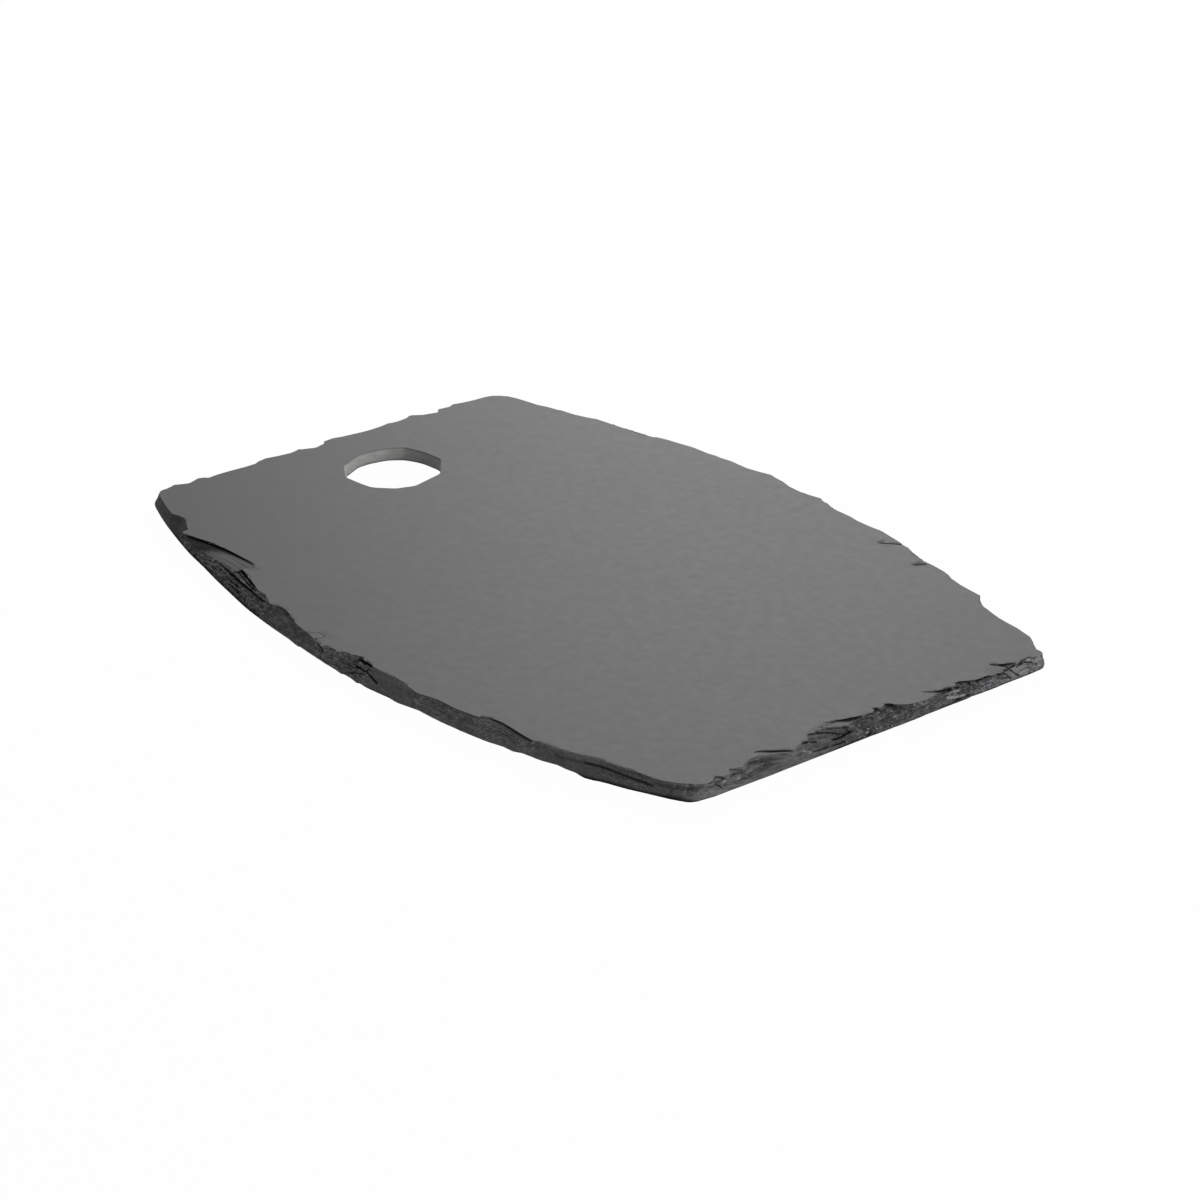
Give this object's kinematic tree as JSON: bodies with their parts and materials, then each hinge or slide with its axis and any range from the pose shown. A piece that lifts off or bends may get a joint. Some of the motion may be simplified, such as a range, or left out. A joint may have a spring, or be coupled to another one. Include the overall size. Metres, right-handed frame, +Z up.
{
  "type": "slate serving board",
  "caption": "Flat slate serving board with bowed sides, straight ends, a hand-dressed flaked edge, a round finger hole at one end and stick-on rubber feet.",
  "frame": {"origin": "middle of the board on the surface that its feet stand on", "axes": "+X along the length, away from the finger hole; +Y across the board; +Z up, out of the serving face"},
  "size_m": [0.3, 0.212, 0.007],
  "materials": {
    "slate": "riven, matt",
    "foot_rubber": "matt",
    "adhesive": "matt"
  },
  "bodies": {
    "root": {"slate_slab": "slate", "foot_pad_near_grip": "foot_rubber", "foot_pad_near_plain": "foot_rubber", "foot_pad_far_grip": "foot_rubber", "foot_pad_far_plain": "foot_rubber", "adhesive_near_grip": "adhesive", "adhesive_near_plain": "adhesive", "adhesive_far_grip": "adhesive", "adhesive_far_plain": "adhesive"}
  },
  "joints": []
}
